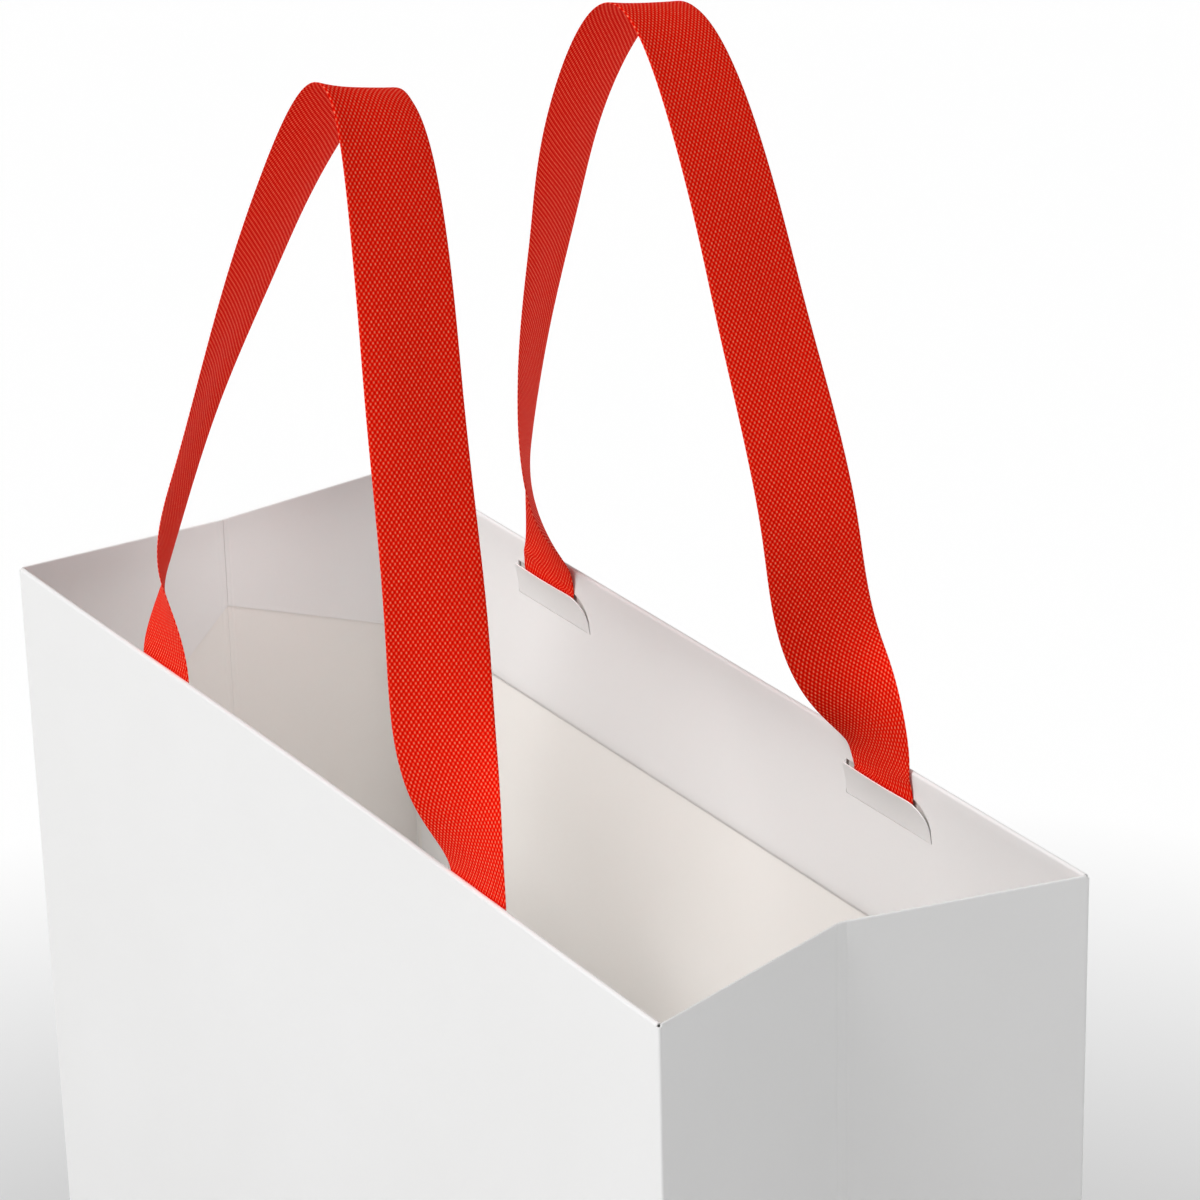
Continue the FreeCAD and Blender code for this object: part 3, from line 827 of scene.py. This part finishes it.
def ribbon_ring(point, wide, face, place, soft_fold):
    """The ribbon's outline at one point of its path, each corner with its place across and along."""
    free = min(1.0, max(0.0, (point[2] - RIM) / (60 * MM)))     # the waves grow from the rim up
    half = [0.0, 0.2, 0.4, 0.6, 0.8, 0.94, 0.985, 1.0]
    shares = [-share for share in half[:0:-1]] + half
    ring = []
    for top, order in ((1, shares), (-1, shares[-2:0:-1])):
        for share in order:
            thick = RIBBON_THICK / 2 * (SELVEDGE + (1 - SELVEDGE) * (1 - abs(share) ** 40))
            cup = soft_fold * free * (0.5 - share * share) * math.sin(place / (38 * MM) + 0.6)
            wave = soft_fold * 0.5 * free * math.sin(place / (21 * MM)) * math.sin(share * 2.6 + 0.4)
            across = share * RIBBON_WIDTH / 2
            corner = point + wide * across + face * (top * thick + cup + wave)
            ring.append((tuple(corner), (across, place)))
    return ring, len(shares)


def ribbon_end_faces(base, across, half):
    """One cut end, closed as strips across so that no long face is left."""
    faces = []
    for k in range(half - 1):
        upper = [base + k, base + k + 1]
        lower = [base + (across - k) % across, base + (across - k - 1) % across]
        if k == 0:
            faces.append([*upper, lower[1]])
        elif k == half - 2:
            faces.append([*upper, lower[0]])
        else:
            faces.append([*upper, *lower[::-1]])
    return faces


def ribbon_piece(name, path, begin, finish_at, soft_fold):
    """A stretch of the ribbon as a closed woven strip with rounded selvedges."""
    points = path[:, :3]
    length = np.concatenate([[0], np.cumsum(np.linalg.norm(np.diff(points, axis=0), axis=1))])
    ahead = np.gradient(points, axis=0)
    ahead /= np.linalg.norm(ahead, axis=1)[:, None]
    turn, tilt = path[:, 3], path[:, 4]
    wide = np.stack([np.cos(turn) * np.cos(tilt), np.sin(turn) * np.cos(tilt), np.sin(tilt)], axis=1)
    wide -= (wide * ahead).sum(1)[:, None] * ahead
    wide /= np.linalg.norm(wide, axis=1)[:, None]
    face = np.cross(ahead, wide)
    rings = []
    for i in range(begin, finish_at + 1):
        if (i - begin) % 2 == 0 or i == finish_at:
            ring, half = ribbon_ring(points[i], wide[i], face[i], length[i], soft_fold)
            rings.append(ring)
    across = len(rings[0])
    verts = [p for ring in rings for p, _ in ring]
    coords = [uv for ring in rings for _, uv in ring]
    faces = []
    for r in range(len(rings) - 1):
        for c in range(across):
            a, b = r * across + c, r * across + (c + 1) % across
            faces.append([a, a + across, b + across, b])
    faces += ribbon_end_faces(0, across, half)
    faces += [quad[::-1] for quad in ribbon_end_faces((len(rings) - 1) * across, across, half)]
    mesh = bpy.data.meshes.new(name)
    mesh.from_pydata(verts, [], faces)
    layer = mesh.uv_layers.new(name="ribbon")
    for loop in mesh.loops:
        layer.data[loop.index].uv = coords[loop.vertex_index]
    mesh.shade_smooth()
    mesh.set_sharp_from_angle(angle=math.radians(60))
    mesh.materials.append(woven_ribbon)
    piece = bpy.data.objects.new(name, mesh)
    bpy.context.scene.collection.objects.link(piece)
    return piece, float(length[finish_at] - length[begin])


for wall, route in (("front", FRONT_ROUTE), ("back", BACK_ROUTE)):
    path = ribbon_path(wall, route)
    above = np.nonzero(path[:, 2] > FREE_FROM)[0]
    first, last = int(above[0]), int(above[-1])
    for leg, begin, end in ((1, 0, first), (-1, last, len(path) - 1)):
        hand = "right" if leg > 0 else "left"
        piece, length = ribbon_piece(f"{wall}_{hand}_ribbon_foot", path, begin, end, SOFT_FOLD[wall])
        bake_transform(piece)
        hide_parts(f"{wall}_{hand}_ribbon_end")
    piece, length = ribbon_piece(f"{wall}_ribbon_handle", path, first, last, SOFT_FOLD[wall])
    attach(piece, f"{wall}_handle")
    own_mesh(piece)
    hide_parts(f"{wall}_ribbon_loop")

# ---- Floor, light and camera ----
# A plain pale floor and soft lights: a broad key from the front and above, a weaker fill from overhead, a
# small reflector over the mouth of the bag, and an even white surround.

FLOOR_REACH = 40.0
FLOOR_DROP = 0.2 * MM           # under the bag, so that the two don't share a face
floor_corners = [(x * FLOOR_REACH, y * FLOOR_REACH, 0) for x, y in ((-1, -1), (1, -1), (1, 1), (-1, 1))]
floor_mesh = bpy.data.meshes.new("studio_floor")
floor_mesh.from_pydata(floor_corners, [], [(0, 1, 2, 3)])
floor = bpy.data.objects.new("studio_floor", floor_mesh)
floor.location.z = -FLOOR_DROP
bpy.context.scene.collection.objects.link(floor)
floor_finish = bpy.data.materials.new("pale floor")
floor_finish.use_nodes = True
floor_tree = floor_finish.node_tree
floor_shader = next(n for n in floor_tree.nodes if n.type == "BSDF_PRINCIPLED")
floor_shader.inputs["Base Color"].default_value = (0.50, 0.50, 0.50, 1)
floor_shader.inputs["Roughness"].default_value = 0.9
floor_shader.inputs["Specular IOR Level"].default_value = 0.1
floor_shader.inputs["Emission Color"].default_value = (1, 1, 1, 1)
floor_place = floor_tree.nodes.new("ShaderNodeTexCoord").outputs["Object"]
away = floor_tree.nodes.new("ShaderNodeVectorMath")
away.operation = "LENGTH"
floor_tree.links.new(floor_place, away.inputs[0])
# the floor glows white away from the bag, as a lit backdrop does
far_glow = remap(floor_tree, away.outputs["Value"], 0.30, 0.75, 0.0, 0.55)
floor_tree.links.new(far_glow, floor_shader.inputs["Emission Strength"])
floor_mesh.materials.append(floor_finish)

world = bpy.data.worlds.new("white surround")
bpy.context.scene.world = world
world.use_nodes = True
world.node_tree.nodes["Background"].inputs["Color"].default_value = (1, 1, 1, 1)
world.node_tree.nodes["Background"].inputs["Strength"].default_value = 0.25


def soft_sun(name, toward, spread_angle, power):
    """A broad parallel light: toward is the direction that it comes from."""
    lamp = bpy.data.lights.new(name, "SUN")
    lamp.angle = math.radians(spread_angle)
    lamp.energy = power
    holder = bpy.data.objects.new(name, lamp)
    holder.rotation_euler = Vector(toward).to_track_quat("Z", "Y").to_euler()
    bpy.context.scene.collection.objects.link(holder)


soft_sun("front and above", (-0.1, -0.62, 0.78), 25, 1.95)
soft_sun("overhead fill", (0.15, -0.1, 0.98), 40, 0.5)
reflector = bpy.data.lights.new("overhead reflector", "AREA")
reflector.shape = "RECTANGLE"
reflector.size, reflector.size_y = 0.24, 0.05
reflector.energy = 0.055
reflector_holder = bpy.data.objects.new("overhead reflector", reflector)
reflector_holder.location = (-0.02, 0, RIM + 0.008)
reflector_holder.visible_camera = False
bpy.context.scene.collection.objects.link(reflector_holder)

AZIMUTH = math.radians(57.1)
ELEVATION = math.radians(24.33)
ROLL = math.radians(-1.42)
LOOK_AT = Vector((-0.0163, 0.0379, 0.4153))
CAMERA_DISTANCE = 1.2484
camera = bpy.data.cameras.new("camera")
camera.sensor_width = 36
camera.lens = 140.7
camera.clip_start = 0.05
camera.clip_end = 50
holder = bpy.data.objects.new("camera", camera)
bpy.context.scene.collection.objects.link(holder)
back = Vector(
    (
        math.sin(AZIMUTH) * math.cos(ELEVATION),
        -math.cos(AZIMUTH) * math.cos(ELEVATION),
        math.sin(ELEVATION),
    )
)
holder.location = LOOK_AT + back * CAMERA_DISTANCE
upright = (-back).to_track_quat("-Z", "Y").to_matrix().to_4x4()
holder.rotation_mode = "QUATERNION"
holder.rotation_quaternion = (upright @ Matrix.Rotation(ROLL, 4, "Z")).to_quaternion()
bpy.context.scene.camera = holder

scene = bpy.context.scene
scene.view_settings.view_transform = "Standard"
scene.view_settings.look = "None"
scene.view_settings.exposure = 0.0
